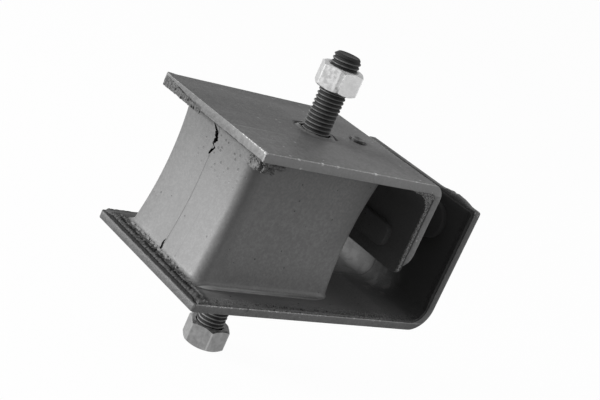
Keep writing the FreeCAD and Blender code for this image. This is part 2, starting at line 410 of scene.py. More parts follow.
# edges: point, axes across, width, plain share, noise level above which the painted highlight and bare metal
# come through; burrGlints: box, noise level;
# patches: box, softness, amount, grey; rings: x of the axis, inner and outer radius, amount, grey
def makePaint(name, paint):
    material, tree, shader, coords = newMaterial(name, specular=paint["specular"])
    base, cloudy, matte = paint["base"], paint["cloudy"], paint["roughness"]
    skin = skinOf(tree, coords, 2200.0, 60.0, (0.25, 1.6, 1.0))
    color = blendColor(tree, remap(tree, skin["Cloud"], 0.35, 0.7), grey(base), grey(cloudy))
    grain = bandNoise(tree, coords, 900.0, 3.0, 0.36, 0.66)
    color = tint(tree, grain, 0.55, color, cloudy * 1.5)
    color = tint(tree, bandNoise(tree, coords, 330.0, 4.0, 0.4, 0.62), 0.25, color, base * 0.55)
    shear = bandNoise(tree, mapped(tree, coords, scale=(500.0, 45.0, 2300.0)), 1.0, 2.0, 0.45, 0.62)
    color = tint(tree, shear, 0.18, color, base * 0.6)
    color = tint(tree, specks(tree, coords, 260.0, 0.3, 0.17), 0.7, color, paint["dust"])
    scratches = placeGroup(tree, longScratches, {"Vector": coords, "Amount": 0.11})["Mask"]
    handled = boxMask(tree, coords, paint["scratched"], (200, 200, 200), 0.1)
    color = tint(tree, times(tree, scratches, handled), 0.4, color, paint["dust"])
    chips = noiseNode(tree, coords, 520.0, 3.0)["Fac"]
    # painted highlight along the edges, partly worn bare paint
    for point, across, width, plain, sparkleFrom in paint["edges"]:
        highlightShare = remap(tree, chips, sparkleFrom, sparkleFrom + 0.08, plain, 1.0)
        line = times(tree, lineMask(tree, coords, point, across, width), highlightShare)
        color = tint(tree, line, 1.0, color, paint["edgeHighlightAndWear"])
    fine = noiseNode(tree, coords, 1300.0, 2.0)["Fac"]
    for low, high, sparkleFrom in paint["burrGlints"]:  # painted glints on a burr, partly bare bright metal, in a small place
        burr = times(tree, boxMask(tree, coords, low, high, 0.25),
                     remap(tree, fine, sparkleFrom, sparkleFrom + 0.05))
        color = tint(tree, burr, 1.0, color, 0.7)
    ragged = wobbled(tree, coords, 300.0, 0.0012)
    # the patches hold painted light and shade as well as a few dark marks
    for low, high, soft, amount, level in paint["patches"]:
        color = tint(tree, boxMask(tree, ragged, low, high, soft), amount, color, level)
    # the rings are painted shade in grooves round an upright axis
    for axisX, inside, outside, amount, level in paint["rings"]:
        radius = axisDistance(tree, coords, axisX)
        ring = times(tree, remap(tree, radius, (inside - 0.3) * mm, inside * mm),
                     remap(tree, radius, outside * mm, (outside + 0.3) * mm, 1.0, 0.0))
        color = tint(tree, times(tree, ring, remap(tree, chips, 0.35, 0.6)), amount, color, level)
    roughness = remap(tree, skin["Cloud"], 0.2, 0.8, matte - 0.05, matte + 0.07)
    height = math2(tree, "ADD", skin["Height"], times(tree, grain, 0.8))
    finishShader(tree, shader, color, roughness, height, 0.5, paint["grainHeight"])
    return material


upperPaint = makePaint("upperBracketPaint", {
    "base": 0.11, "cloudy": 0.138, "dust": 0.46, "edgeHighlightAndWear": 0.55, "roughness": 0.52, "specular": 0.17,
    "grainHeight": 0.12, "scratched": (-200, -200, 67.45),
    "edges": [((-42.7, 0, 67.6), (1, 0, 1), 0.3, 0.3, 0.6), ((0, -37.5, 67.6), (0, 1, 1), 0.45, 0.6, 0.6),
              ((0, -37.5, 63.6), (0, 1, 1), 0.3, 0.1, 0.64)],
    "burrGlints": [((-42.9, -37.8, 66.8), (-41.9, -36.0, 68.0), 0.46),
              ((-43.2, -36.5, 67.25), (-42.45, -20, 68.0), 0.5),
              ((-43.2, -37.9, 63.5), (-42.5, -37.1, 67.0), 0.5), ((-42, -38, 67.3), (50, -37.2, 68), 0.57),
              ((-14.6, -38, 66.8), (-13.6, -36.6, 68.2), 0.3), ((-6.4, -38, 66.9), (-5.6, -36.8, 68.0), 0.3),
              ((14.4, -38, 66.9), (15.8, -36.5, 68.2), 0.3),
              ((-24.5, -38, 63.0), (-23.0, -37.2, 64.3), 0.35),
              ((-27, -38, 67.0), (-25.6, -36.9, 68.0), 0.42)],
    # painted shade: a dark line under the left edge where the rubber meets it, and the back half of that
    # edge darker
    "patches": [((-43.5, -38, 63.1), (-42.0, 38, 63.95), 0.15, 0.85, 0.01),
                ((-43.5, 8, 62.5), (-42.2, 39, 65.3), 0.35, 0.85, 0.02),
                # painted highlight on the raised back left corner
                ((-43.5, 34.5, 65.8), (-41.6, 38, 68.8), 0.5, 0.35, 0.3),
                # painted shade in the staked ring's deep bites, in the pocket beside the stud and in the
                # pip's bowl
                ((5.2, 8.4, 66), (11.8, 10.3, 67.7), 0.5, 0.8, 0.02),
                ((19.7, -5.0, 66), (21.2, 1.8, 67.7), 0.35, 0.75, 0.02),
                ((4.6, 2.0, 66), (6.6, 5.0, 69), 0.4, 0.95, 0.004),
                ((34.4, -1.8, 66), (37.0, 1.4, 68.4), 0.6, 0.7, 0.03),
                # painted light on the front faces and on the flange's front strip
                ((-43.5, -40, 63), (58, -36.4, 67.3), 0.15, 0.65, 0.27),
                ((52, -40, 20), (58, -36.4, 64), 0.3, 0.3, 0.24),
                # painted shade over the back of the top; painted light on the top round the stud, against
                # its shadow and reflection
                ((-120, -6, 66.5), (40, 90, 90), 30.0, 0.85, 0.02),
                ((10, -10, 66.5), (48, 24, 69), 9.0, 0.35, 0.2),
                ((-9, -27, 66.5), (12, -7, 69), 6.0, 0.35, 0.2),
                # painted light on the front half of the left edge
                ((-43.2, -38, 64), (-42.5, 12, 67.3), 0.2, 0.12, 0.26)],
    # painted shade in the grooves round the stud, in the staked ring and round the pip
    "rings": [(11.0, 5.9, 6.7, 0.9, 0.01), (11.0, 8.9, 9.5, 0.35, 0.03), (36.0, 3.45, 4.1, 0.9, 0.015)],
})
lowerPaint = makePaint("lowerBracketPaint", {
    "base": 0.074, "cloudy": 0.092, "dust": 0.26, "edgeHighlightAndWear": 0.55, "roughness": 0.5, "specular": 0.3,
    "grainHeight": 0.12, "scratched": (60, -200, -200),
    "edges": [((0, -38.5, 3.5), (0, 1, 1), 0.45, 0.4, 0.56), ((-46.5, 0, 3.3), (1, 0, 1), 0.2, 0.4, 0.62)],
    "burrGlints": [((-41, -38.8, 3.0), (-28, -38.0, 4.2), 0.5), ((-28, -38.8, 3.0), (20, -38.0, 4.2), 0.58),
              ((70.5, -38.8, 57.5), (85, -37.2, 60.5), 0.54)],
    # painted shade: a dark band along the rolled left edge of the top, and darker over the flange
    "patches": [((-46.15, -38.2, 3.2), (-45.0, 40, 4.5), 0.1, 0.92, 0.012),
                ((62, -60, -20), (130, 60, 90), 18.0, 0.6, 0.025),
                ((-20.5, -39, 2.2), (-19.5, -37.8, 3.7), 0.3, 0.9, 0.008),
                ((5, -39, 0), (6.5, -37.8, 1.2), 0.4, 0.6, 0.02),
                # painted shade on the flange's top beside the skin; painted light on the front faces,
                # strongest at the left
                ((66, -37.5, 57.8), (85, 39, 61.5), 0.3, 0.9, 0.012),
                ((-110, -60, -60), (20, -37.4, 60), 50.0, 0.3, 0.2),
                ((-47, -39, 0), (-46.2, 39, 3.3), 0.2, 0.38, 0.02)],
    "rings": [],
})

frayed = (420.0, 0.0028)
rubber = {
    "base": 0.1, "cloudy": 0.12, "roughness": 0.55, "grainHeight": 0.12, "specular": 0.42,
    "dust": (0.6, 0.3), "pits": (0.9, 0.012), "parting": (0.7, 0.01), "secondLine": (0.3, 0.03),
    "tears": [
        # painted shade inside between the flanges and on the floor skin
        ("shadedRegion", None, None, None, 0.95, 0.05),
        ("shadedRegion", None, None, "coarse", 0.3, 0.1),
        # painted light: the open floor skin at the front stays lighter than the painted shade
        ("openSkin", ((-90, -90, -60), (34, -14, 60), 14.0), None, "floorSkin", 1.0, 0.11),
        ("litSide", ((50, -1.2, 0), (80, 40, 16), 0.35), (200.0, 0.0015), None, 0.5, 0.1),
        ("flangeRim", ((77, -45, 10), (82, -36.6, 70), 0.25), frayed, None, 0.95, 0.012),
        ("rimHoles", ((77, -45, 10), (82, -35.4, 58), 0.3), frayed, "gaps", 0.9, 0.004),
        ("frontRim", ((-60, -45, 3), (79, -34.6, 6), 1.0), frayed, "coarse", 0.9, 0.15),
        ("cornerSkin", ((-60, -45, 3), (-38.5, -27.5, 5.9), 0.6), frayed, None, 0.7, 0.045),
        # painted highlight along the front of the foot, fading to the right
        ("ledgeHighlight", ((-39.5, -31, 5.7), (20, -28.0, 6.7), 0.3), (150.0, 0.0006), "fading", 1.0, 0.4),
        ("flash", ((-44, 10, 61), (-41.6, 39, 66), 0.3), frayed, None, 0.85, 0.04),
        ("flash", None, None, "coarse", 0.7, 0.1),
        ("flash", None, None, "holes", 0.95, 0.004),
        ("crumb", ((-44, -38, 58), (-29, -28.5, 63.7), 0.4), None, "smooth", 0.25, 0.04),
        ("tornFoot", ((-60, -30, 3), (-40.6, 34, 6.2), 0.35), frayed, None, 0.95, 0.02),
        ("tornFoot", None, None, "coarse", 0.7, 0.05),
        ("crumbs", ((-45.3, -38, 3), (-44.8, 38, 6), 0.3), (500.0, 0.0009), "coarse", 0.8, 0.12),
        # painted shade in the crease of the left foot
        ("crease", ((-44.8, -24, 4.2), (-41.2, 28, 7.1), 0.5), frayed, "hairs", 0.92, 0.006)],
    "shades": [
        # painted shade beside the front left corner; painted light on the open left face
        ("corner", ((-35.0, -40, 14), (-29.5, -20, 58), 2.2), None, None, 0.5, 0.03),
        ("openFaceLight", ((-80, -60, 8), (-32, 14, 54), 7.0), None, None, 0.4, 0.18),
        # painted shade high on the block under the plate, and towards the back
        ("upperShade", ((-80, -80, 46), (60, 80, 100), 14.0), None, None, 0.4, 0.045),
        ("back", ((-90, -10, -20), (-20, 90, 90), 34.0), None, None, 0.38, 0.05),
        ("frontEnd", ((22, -60, 30), (60, -20, 90), 9.0), None, None, 0.55, 0.03),
        # painted shade low on the front face, above the skin
        ("lowFrontShade", ((-36, -60, -20), (60, -20, 15), 7.0), None, "aboveSkin", 0.3, 0.04),
        # painted shadow across the fold on the front side of the gap, darker still further right
        ("nearSideShadow", ((60, -45, 0), (90, 1.5, 90), 1.2), (120.0, 0.002), None, 0.4, 0.03),
        ("fold", ((66, -45, 0), (90, -17, 40), 6.0), (120.0, 0.003), None, 0.4, 0.012),
        ("litPatch", ((56, -14, 4), (90, 45, 24), 3.0), None, "blotches", 0.4, 0.03),
        # painted light on the fold, in blotches
        ("foldLightBlotches", ((66, -17, 3), (90, -4, 22), 2.5), None, "blotches", 0.5, 0.12),
        # painted shade deep inside, on the flanges' inner faces
        ("farInnerShade", ((70, -60, 14), (90, 60, 90), 14.0), None, None, 0.85, 0.01),
        ("cutEnd", ((38, -45, 20), (58, -36.6, 64), 0.15), None, None, 1.0, 0.035),
        ("cutEnd", None, None, "coarse", 1.0, 0.19),
        ("cutLine", ((52.55, -45, 20), (58, -36, 61), 0.15), (400.0, 0.0006), None, 0.95, 0.006),
        # painted shade inside the split
        ("split", ((-35.95, -4, 48.5), (-28, 6, 63.4), 0.3), None, None, 1.0, 0.003)],
}


def makeRubber():
    material, tree, shader, coords = newMaterial("blackRubber", specular=rubber["specular"])
    skin = skinOf(tree, coords, 2600.0, 70.0, (1, 1, 0.5))
    base, cloudy, matte = rubber["base"], rubber["cloudy"], rubber["roughness"]
    color = blendColor(tree, remap(tree, skin["Cloud"], 0.3, 0.7), grey(base), grey(cloudy))
    color = tint(tree, bandNoise(tree, coords, 900.0, 3.0, 0.38, 0.66), 0.5, color, cloudy * 1.5)
    color = tint(tree, bandNoise(tree, coords, 380.0, 4.0, 0.42, 0.6), 0.22, color, base * 0.6)
    coarse = bandNoise(tree, coords, 1500.0, 3.0, 0.42, 0.58)
    inner = boxMask(tree, coords, (34.2, -45, 0), (90, 45, 70), 0.6)
    floorSkin = boxMask(tree, coords, (-60, -45, 0), (90, 45, 5.7), 0.15)
    shadedRegion = largest(tree, inner, floorSkin)
    color, masks = addLayers(tree, coords, color, rubber["tears"], {
        "coarse": coarse, "smooth": opposite(tree, coarse), "floorSkin": floorSkin, "shadedRegion": shadedRegion,
        "fading": boxMask(tree, coords, (-200, -200, -200), (2, 200, 200), 22.0),
        "gaps": bandNoise(tree, coords, 650.0, 3.0, 0.46, 0.54),
        "holes": bandNoise(tree, coords, 620.0, 2.0, 0.6, 0.65),
        "hairs": bandNoise(tree, coords, 800.0, 4.0, 0.42, 0.5)})
    amount, level = rubber["dust"]
    color = tint(tree, specks(tree, coords, 230.0, 0.05, 0.075), amount, color, level)
    nearSplit = boxMask(tree, coords, (-60, -20, 46), (-30, 6, 62), 5.0)
    crowded = times(tree, specks(tree, coords, 480.0, 0.7, 0.3), nearSplit)
    pits = largest(tree, specks(tree, coords, 420.0, 0.2, 0.18), crowded)
    parting = lineMask(tree, coords, origin, (0, 1, 0), 0.28, 0.9, 60.0)
    second = times(tree, lineMask(tree, coords, (0, -9.2, 0), (0, 1, 0), 0.3, 1.0, 50.0),
                   boxMask(tree, coords, (-60, -20, 7), (-30, 0, 30), 2.0))
    marks = ((pits, rubber["pits"]), (parting, rubber["parting"]), (second, rubber["secondLine"]))
    for mask, (amount, level) in marks:
        color = tint(tree, mask, amount, color, level)
    color, shades = addLayers(tree, coords, color, rubber["shades"], {
        "coarse": coarse, "aboveSkin": opposite(tree, floorSkin),
        "blotches": bandNoise(tree, coords, 260.0, 4.0, 0.48, 0.62)})
    shine = remap(tree, skin["Cloud"], 0.2, 0.8, matte - 0.05, matte + 0.06)
    dull = largest(tree, shine, masks["tornFoot"], floorSkin, times(tree, shadedRegion, 0.8),
                   shades["nearSideShadow"])
    rugged = largest(tree, masks["tornFoot"], shades["cutEnd"], masks["frontRim"], masks["flash"],
                     masks["crumb"])
    height = math2(tree, "ADD", skin["Height"], times(tree, largest(tree, parting, pits), -3.0))
    height = math2(tree, "ADD", height, times(tree, times(tree, rugged, coarse), 6.0))
    finishShader(tree, shader, color, dull, height, 0.5, rubber["grainHeight"])
    return material


tornBorder = (500.0, 0.0012)
tornBand = {
    "specular": 0.12, "dark": 0.04, "light": 0.07, "hole": (0.9, 0.003), "grainHeight": 0.12,
    "seam": ((-60, 16, 63.6), (0, 31, 64.2), 0.2), "seamTilt": (-4, 0, 0),
    "layers": [
        ("crumbs", ((-45.5, -45, 3), (-44.6, 45, 9), 0.3), tornBorder, "grit", 0.8, 0.11),
        # painted light: the band's top lighter, like the lit face above it
        ("smooth", ((-42.2, -40, 3), (-40, 40, 9), 0.5), tornBorder, None, 0.75, 0.2),
        # painted shade in the crease, as black holes
        ("crease", ((-44.3, -30, 3), (-42.7, 28, 9), 0.5), tornBorder, "holes", 0.95, 0.003),
        # painted shade in the gap along the steel's edge
        ("rim", ((-47, -45, 3), (-45.2, 45, 9), 0.1), None, None, 0.8, 0.008),
        ("frontRow", ((-44, -45, 3), (70, -35.5, 5.5), 0.3), None, "grit", 0.75, 0.17),
        ("underPlate", ((-60, 0, 50), (0, 60, 90), 1.0), None, None, 0.5, 0.07),
        ("underPlate", None, None, "grit", 0.6, 0.13)],
}


def makeTornRubber():  # dry torn rubber: pale crumbs at the outer edge, painted shade as black holes along the crease and at the steel's edge, painted light towards the block
    material, tree, shader, coords = newMaterial("tornRubber", specular=tornBand["specular"])
    skin = skinOf(tree, coords, 2600.0, 260.0)
    cloud = remap(tree, skin["Cloud"], 0.35, 0.65)
    color = blendColor(tree, cloud, grey(tornBand["dark"]), grey(tornBand["light"]))
    grit = bandNoise(tree, coords, 1100.0, 3.0, 0.44, 0.56)
    holes = bandNoise(tree, coords, 800.0, 3.0, 0.36, 0.46)
    color, masks = addLayers(tree, coords, color, tornBand["layers"], {"grit": grit, "holes": holes})
    ragged = wobbled(tree, coords, *tornBorder)
    amount, level = tornBand["hole"]
    seam = boxMask(tree, mapped(tree, ragged, tornBand["seamTilt"]), *tornBand["seam"])
    color = tint(tree, times(tree, seam, holes), amount, color, level)
    deep = specks(tree, ragged, 620.0, 0.6, 0.4)
    color = tint(tree, times(tree, masks["underPlate"], deep), amount, color, level)
    height = math2(tree, "ADD", skin["Height"], times(tree, grit, 3.0))
    roughness = remap(tree, skin["Cloud"], 0.2, 0.8, 0.8, 1.0)
    finishShader(tree, shader, color, roughness, height, 0.5, tornBand["grainHeight"])
    return material


def makeStudFinish(name, spec):  # painted shade in the grooves, the crests in the stud's own colour
    material, tree, shader, coords = newMaterial(name, specular=0.3)
    skin = skinOf(tree, coords, 3000.0, 300.0)
    crest = remap(tree, axisDistance(tree, coords, spec["x"]), 5.7 * mm, 5.98 * mm)
    color = blendColor(tree, remap(tree, skin["Cloud"], 0.35, 0.7), grey(spec["dark"]), grey(spec["light"]))
    color = blendColor(tree, crest, grey(spec["grooveShade"]), color)
    finishShader(tree, shader, color, remap(tree, crest, 0.0, 1.0, 0.75, 0.4), skin["Height"], 0.4, 0.03)
    return material


def makeZinc(name, spec):  # dull plated steel, with a painted highlight at the corners and one worn place
    material, tree, shader, coords = newMaterial(name, metallic=0.85, specular=0.5)
    skin = skinOf(tree, coords, 1500.0, 330.0)
    mottled = bandNoise(tree, coords, 600.0, 4.0, 0.3, 0.7)
    share = times(tree, math2(tree, "ADD", mottled, remap(tree, skin["Cloud"], 0.35, 0.65)), 0.5)
    color = blendColor(tree, share, grey(spec["base"]), grey(spec["bright"]))
    color = tint(tree, specks(tree, coords, 800.0, 0.14, 0.2), 0.45, color, spec["scuff"])
    # painted highlight along the hex corners, partly rubbed bright
    corner = remap(tree, axisDistance(tree, coords, spec["x"]), 9.52 * mm, 9.68 * mm)
    color = tint(tree, corner, 0.6, color, spec["bright"] * 1.5)
    worn = boxMask(tree, wobbled(tree, coords, 400.0, 0.001), *spec["smudge"], 0.4)
    color = tint(tree, times(tree, worn, mottled), 1.0, color, spec["base"] * 0.35)
    height = math2(tree, "ADD", skin["Height"], mottled)
    finishShader(tree, shader, color, remap(tree, mottled, 0.0, 1.0, 0.34, 0.5), height, 0.4, 0.02)
    return material


studThread = {
    "pitch": 1.75, "crest": 6.0, "root": 5.3, "chamfer": 1.3, "steps": 64, "neck": 6.3, "recess": 1.2,
    "head": 10.0, "headHeight": 5.0, "endInset": 1.2, "endSink": 0.2,
    # one turn of the outline: place along the pitch, rise from root to crest
    "tooth": ((0.0, 0.0), (0.1, 0.0), (0.16, 0.1), (0.46, 0.92), (0.51, 1.0), (0.63, 1.0), (0.68, 0.92),
              (0.95, 0.1)),
}
upperStud = {"x": 11.0, "seat": 67.6, "direction": 1, "length": 34.8, "plate": 4.0, "turn": 20,
             "grooveShade": 0.008, "dark": 0.06, "light": 0.11}
lowerStud = {"x": 0.0, "seat": 0.0, "direction": -1, "length": 34.0, "plate": 3.5, "turn": 140,
             "grooveShade": 0.008, "dark": 0.13, "light": 0.2}
hexNut = {"acrossFlats": 17.0, "height": 10.0, "crown": 8.2, "angle": 30.0, "bore": 6.1, "sink": 0.7,
          "edge": 0.24}
upperNut = {"x": 11.0, "bottom": 87.0, "turn": 57.0, "base": 0.35, "bright": 0.43, "scuff": 0.25,
            "smudge": ((3.0, -11, 87.6), (5.9, -6.5, 96.4))}
# the lower nut's zinc is a darker copy: painted shade
lowerNut = {"x": 0.0, "bottom": -34.4, "turn": 64.7, "base": 0.18, "bright": 0.26, "scuff": 0.12,
            "smudge": ((7, -4, -34), (12, 2, -27))}

blackRubber = makeRubber()
tornRubber = makeTornRubber()
upperStudBlack = makeStudFinish("upperStudBlack", upperStud)
lowerStudBlack = makeStudFinish("lowerStudBlack", lowerStud)
brightZinc = makeZinc("brightZinc", upperNut)
shadedZinc = makeZinc("shadedZinc", lowerNut)
print("materials made")


lowerBracket = {
    "free": -46.5, "reach": 84.0, "height": 59.5, "seat": 0.0, "fold": 1, "depth": 77.0,
    "plate": 3.5, "flange": 3.5, "outerRadius": 11.0, "innerRadius": 7.5,
    "corners": (1.2, 1.2, 1.2, 1.2), "rims": (0.25, 0.25), "edgeNoise": 0.02, "roll": 0.3, "rollWidth": 0.8,
    "burr": 0.12,
    "topBulge": 1.3, "bulgeFrom": (-34, -27), "bulgeTo": (-21, -12),
}


def makeLowerBracket(spec):  # bent plate, the top of its left end rolled over by the shear
    bm, length, half = flatPattern(spec)
    cutAt(bm, 0, [0.6, 1.2] + stations(2.0, length - 4, 1.6) + [length - 2, length - 1]
          + foldStations(spec, 12))
    cutAt(bm, 1, stations(-half + 1, half - 1, 1.6) + [-half + 0.6, half - 0.6])
    for v in bm.verts:
        s, y, h = v.co
        edge = min(half - abs(y), s, length - s)
        if edge < 0.5:
            v.co.z += spec["edgeNoise"] * rough((s, y, h), 0.5, 3)
        top = h > spec["plate"] * 0.6
        if top and s < spec["rollWidth"]:
            v.co.z -= spec["roll"] * (1 - ramp(s, 0.0, spec["rollWidth"]))
        if top and y < 0 and half - abs(y) < 0.5 and s > 1:
            v.co.z += spec["burr"] * max(0.0, 0.5 + rough((s, y, 0), 0.6, 8))
        if length - s < 1.0 and y < -8:  # the burr that bulges out of the flange's top, near the front
            swell = ramp(y, *spec["bulgeFrom"]) * (1 - ramp(y, *spec["bulgeTo"]))
            v.co.x += spec["topBulge"] * swell * (0.9 + 0.5 * rough((y, h, 1), 0.45, 5))
            v.co.z += 0.25 * swell * rough((y, h, 4), 0.7, 7)
    foldSheet(bm, spec)
    for v in bm.verts:  # nothing stands out past the plate's reach
        v.co.x = min(v.co.x, spec["reach"])
    finishPiece("lowerBracketPlate", bm, lowerPaint, ["lower_bracket"])


makeLowerBracket(lowerBracket)


upperBracket = {
    "free": -42.7, "reach": 57.0, "height": 42.3, "seat": 67.6, "fold": -1, "depth": 75.0,
    "plate": 4.0, "flange": 3.6, "outerRadius": 6.5, "innerRadius": 2.7,
    "corners": (0.5, 1.0, 10.0, 10.0), "rims": (0.3, 0.3),
    "studX": 11.0, "pipX": 36.0, "pipRadius": 3.4, "pipHeight": 1.2, "pipBowl": 0.8,
    "ringRadius": 9.5, "ringDepth": 0.8, "ringWidth": 0.75, "ringBites": ((108, 22, 36), (-12, 18, 30)),
    "collarHeight": 0.65, "collarEdge": (7.6, 8.7), "pocket": (-4.5, 4.2), "pocketDepth": 2.0,
    "grooveDepth": 1.6,
    "edgeNoise": 0.025, "edgeEnd": 84, "cornerBurr": 0.3, "pipMoat": 0.4, "moatWidth": 0.7,
}


def makePip(spec):  # the half-pressed button, turned from its outline
    r, rise, bowl = spec["pipRadius"], spec["pipHeight"], spec["pipBowl"]
    pip = bmesh.new()
    outline = [(0.0, rise - bowl), (r * 0.35, rise - bowl * 0.85), (r * 0.62, rise - 0.12),
               (r * 0.74, rise), (r * 0.9, rise - 0.08), (r, rise - 0.4), (r + 0.05, -0.8), (0.0, -0.8)]
    lathe(pip, outline, 40)
    shift(pip, (spec["pipX"], 0, spec["seat"]))
    return pip


def makeUpperBracket(spec):  # bent plate with the staked ring and the half-pressed pip
    bm, length, half = flatPattern(spec)
    studS, pipS = spec["studX"] - spec["free"], spec["pipX"] - spec["free"]
    cutAt(bm, 0, stations(1.0, studS - 13, 2) + stations(studS - 11.2, pipS + 5.2, 0.4)
          + foldStations(spec, 10))
    cutAt(bm, 0, stations(length - 34, length - 1.5, 3))
    cutAt(bm, 1, stations(-half + 1, -13, 2) + stations(-11.2, 11.2, 0.4) + stations(13, half - 1, 2))
    for v in bm.verts:
        s, y, h = v.co
        edge = min(half - abs(y), s)
        if edge < 0.5 and s < spec["edgeEnd"]:
            v.co.z -= spec["edgeNoise"] * rough((s, y, h), 0.6, 11)
        corner = math.hypot(s - 1.0, y - half + 1.0)  # the raised burr of the back left corner
        v.co.z -= spec["cornerBurr"] * (1 - ramp(corner, 0.5, 4.0)) * (1 if h < 2 else 0.3)
        if h > 0.5:
            continue
        fromStud = math.hypot(s - studS, y)
        if fromStud < 11.2:
            turn = math.degrees(math.atan2(y, s - studS))
            bite = max(1 - ramp(abs(turn - middle), full, gone) for middle, full, gone in spec["ringBites"])
            groove = max(0.0, 1 - abs(fromStud - spec["ringRadius"]) / spec["ringWidth"])
            v.co.z += spec["ringDepth"] * groove * (0.12 + 0.88 * bite)
            collar = spec["collarHeight"] * (1 - ramp(fromStud, *spec["collarEdge"]))
            v.co.z -= collar * (1 + 0.25 * rough((s, y, 0), 0.5, 6))
            pocket = math.hypot(s - studS - spec["pocket"][0], y - spec["pocket"][1])
            v.co.z += spec["pocketDepth"] * (1 - ramp(pocket, 0.7, 1.3))
            v.co.z += spec["grooveDepth"] * (1 - ramp(fromStud, 6.15, 6.5))
        fromPip = math.hypot(s - pipS, y)
        if fromPip < 6:
            fromMoat = abs(fromPip - spec["pipRadius"] - 0.35)
            v.co.z += spec["pipMoat"] * max(0.0, 1 - fromMoat / spec["moatWidth"])
    foldSheet(bm, spec)
    addShell(bm, makePip(spec))
    finishPiece("upperBracketPlate", bm, upperPaint, ["upper_bracket"])


makeUpperBracket(upperBracket)


rubberBlock = {
    "base": (73.0, 55.0), "waist": (67.4, 52.0), "top": (71.0, 54.5),
    "baseMiddle": -4.7, "topMiddle": -1.4, "bottomZ": 3.5, "topZ": 63.6, "footZ": 5.95, "ceilingZ": 62.8,
    "corner": 5.5, "footRise": 2.3, "footFlare": (2.5, 1.9), "footFade": 0.7, "fadeSpan": (25, 33),
    "cells": (2.0, 0.8, 2.0), "tearDepth": 0.55, "tearTop": (6.2, 8.0), "tearFront": (-32, -18),
    "tearBack": (27, 31),
    # the torn splits: points of (y, z, half width), depth, and the x of the face they open in
    "splits": ((((4.2, 63.2, 0.3), (3.6, 61.3, 0.5), (1.3, 59.6, 0.9), (0.2, 57.8, 1.25), (-0.4, 56.4, 1.15),
                 (0.1, 55.2, 0.8), (0.5, 54.1, 0.45), (-1.4, 53.3, 0.45), (-0.6, 52.2, 0.7),
                 (0.3, 51.0, 0.8), (0.9, 49.6, 0.3)), 5.0, -36.5),
               (((0.6, 11.2, 0.12), (0.9, 9.8, 0.4), (0.7, 8.4, 0.6), (-0.5, 5.0, 0.7)), 2.2, -41.0)),
    # depth, width, height, corner radius, bevel, the skin's face and the level of the middle
    "stops": ((52.0, 10.5, 3.0, 3.5, 0.8, 51.0, 36.8), (56.0, 17.0, 3.0, 8.49, 0.8, 78.5, 46.0)),
    # middle, half sizes, unevenness and seed
    "lumps": (((-38.4, -32.9, 61.3), (4.4, 4.6, 2.5), 0.24, 5),
              ((-34.0, -33.9, 62.3), (3.9, 3.3, 1.3), 0.3, 15)),
}


def makeBlockShell(spec):  # a rounded prism cut into levels, then drawn to its waisted, leaning shape
    bm = grid(*spec["base"])
    bmesh.ops.bevel(bm, geom=bm.verts[:], offset=spec["corner"], affect="VERTICES", segments=8, profile=0.5,
                    material=-1)
    rise = spec["footRise"]
    low, high = spec["footZ"] + rise, spec["ceilingZ"] - rise
    arc = [math.radians(a) for a in range(0, 91, 15)]
    levels = [(spec["bottomZ"] + 0.2, 1.0), (spec["footZ"] - 0.3, 1.0)]
    levels += [(low - rise * math.cos(a), 1 - math.sin(a)) for a in arc]
    levels += [(z, 0.0) for z in stations(low, high, spec["cells"][2])[1:-1]]
    levels += [(high + rise * math.cos(a), 1 - math.sin(a)) for a in reversed(arc)]
    levels += [(spec["topZ"] - 0.2, 1.0)]
    shift(bm, (0, 0, levels[0][0]))
    thicken(bm, (0, 0, levels[-1][0] - levels[0][0]))
    cutAt(bm, 2, [z for z, flare in levels[1:-1]])
    halfX, halfY = spec["base"][0] / 2, spec["base"][1] / 2
    cutAt(bm, 0, stations(-halfX + spec["corner"], halfX - spec["corner"], spec["cells"][0]))
    cutAt(bm, 1, stations(-halfY + spec["corner"], halfY - spec["corner"], spec["cells"][1]))
    for v in bm.verts:
        flare = min(levels, key=lambda level: abs(level[0] - v.co.z))[1]
        x, y, z = v.co
        away = Vector((math.copysign(max(0.0, abs(x) - halfX + spec["corner"]), x),
                       math.copysign(max(0.0, abs(y) - halfY + spec["corner"]), y)))
        grownBy = away.normalized() * flare if away.length > 1e-6 else Vector((0, 0))
        if y < 0 and z < 20:  # the foot fades out towards its front right end
            grownBy *= 1 - spec["footFade"] * ramp(x, *spec["fadeSpan"])
        share = (z - spec["bottomZ"]) / (spec["topZ"] - spec["bottomZ"])
        weights = ((1 - share) * (1 - 2 * share), 4 * share * (1 - share), share * (2 * share - 1))
        size = [sum(w * spec[k][i] for w, k in zip(weights, ("base", "waist", "top"))) for i in (0, 1)]
        middle = spec["baseMiddle"] + share * (spec["topMiddle"] - spec["baseMiddle"])
        x = x * size[0] / spec["base"][0] + grownBy.x * spec["footFlare"][0] + middle
        y = y * size[1] / spec["base"][1] + grownBy.y * spec["footFlare"][1]
        v.co = Vector((x, y, z))
        if x < -39 and 5.0 < z < 9:  # the left foot is torn where the flash was trimmed
            torn = (1 - ramp(z, *spec["tearTop"])) * ramp(y, *spec["tearFront"])
            torn *= 1 - ramp(y, *spec["tearBack"])
            v.co.x += torn * (spec["tearDepth"] * rough((z * 2, y, 3), 1.1, 21)
                              + 0.25 * rough((z * 2, y, 3), 3.0, 4))
            v.co.z += 0.5 * torn * rough((0, y, 8), 0.9, 25)
        if y < -28 and z < 6.6:
            v.co.z += 0.12 * rough((x, 0, 0), 0.25, 16)
    return bm


